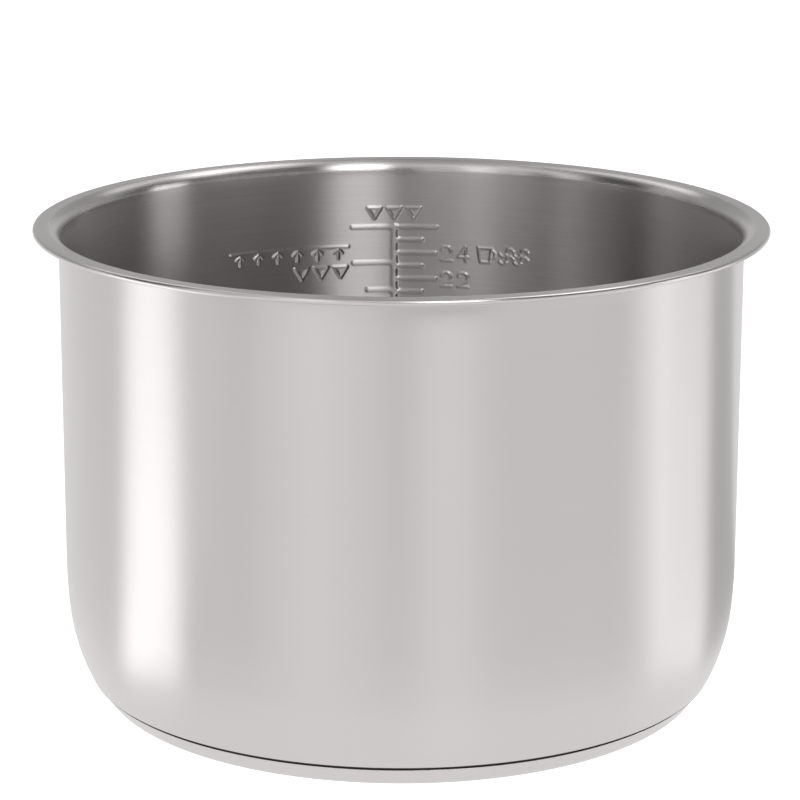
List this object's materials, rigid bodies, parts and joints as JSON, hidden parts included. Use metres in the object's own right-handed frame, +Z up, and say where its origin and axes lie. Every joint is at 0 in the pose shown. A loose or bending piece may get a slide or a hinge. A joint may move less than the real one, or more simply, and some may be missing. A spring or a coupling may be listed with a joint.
{
  "type": "electric pressure cooker inner pot",
  "caption": "Removable stainless steel cooking pot with a flat folded rim, embossed fill scale inside and a capsule base.",
  "frame": {"origin": "centre of the flat underside of the base cap", "axes": "+Z up along the pot's axis; the embossed fill scale is on the +Y side of the wall, read from -Y"},
  "size_m": [0.26, 0.26, 0.172],
  "materials": {
    "shell_steel": "satin outside, brushed round the axis inside",
    "cap_steel": "fine turned satin",
    "core_aluminium": "plain rolled, sealed in the base",
    "braze_alloy": "dull braze, seen only in the groove"
  },
  "bodies": {
    "root": {"pot_shell": "shell_steel", "upper_braze_layer": "braze_alloy", "core_disc": "core_aluminium", "lower_braze_layer": "braze_alloy", "base_cap": "cap_steel"}
  },
  "joints": []
}
